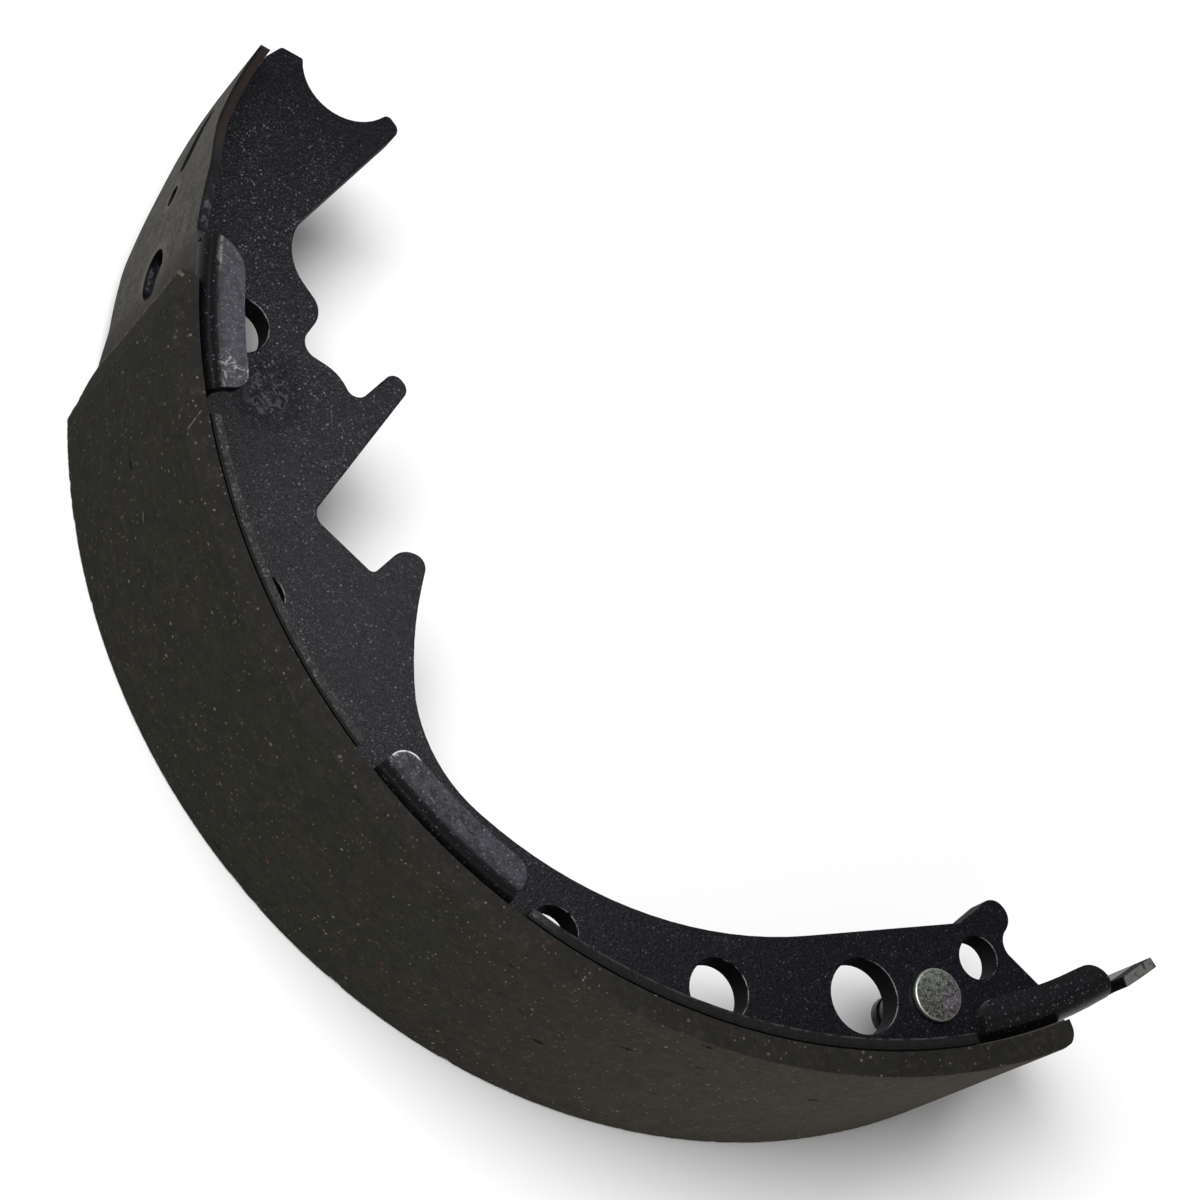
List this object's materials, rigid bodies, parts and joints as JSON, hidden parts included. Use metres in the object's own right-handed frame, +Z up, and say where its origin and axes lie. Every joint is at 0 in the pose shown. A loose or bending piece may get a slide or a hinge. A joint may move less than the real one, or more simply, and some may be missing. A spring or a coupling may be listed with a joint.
{
  "type": "brake shoe",
  "caption": "Bonded drum brake shoe: curved rim with bent tabs and a tongue, flat web with hooked fingers, round seat and holes, friction lining and a lever pin.",
  "frame": {"origin": "on the axis of the drum, in the plane that the shoe's side edges rest on", "axes": "+Z up, along the drum's axis; +X along the chord from the round seat to the lever pin; the middle of the arc is at -Y"},
  "size_m": [0.2388, 0.1174, 0.055],
  "materials": {
    "web_paint": "satin",
    "rim_paint": "satin",
    "friction": "matte",
    "zinc": "satin"
  },
  "bodies": {
    "root": {"web": "web_paint", "rim": "rim_paint", "lining": "friction", "lever_pin": "zinc"}
  },
  "joints": []
}
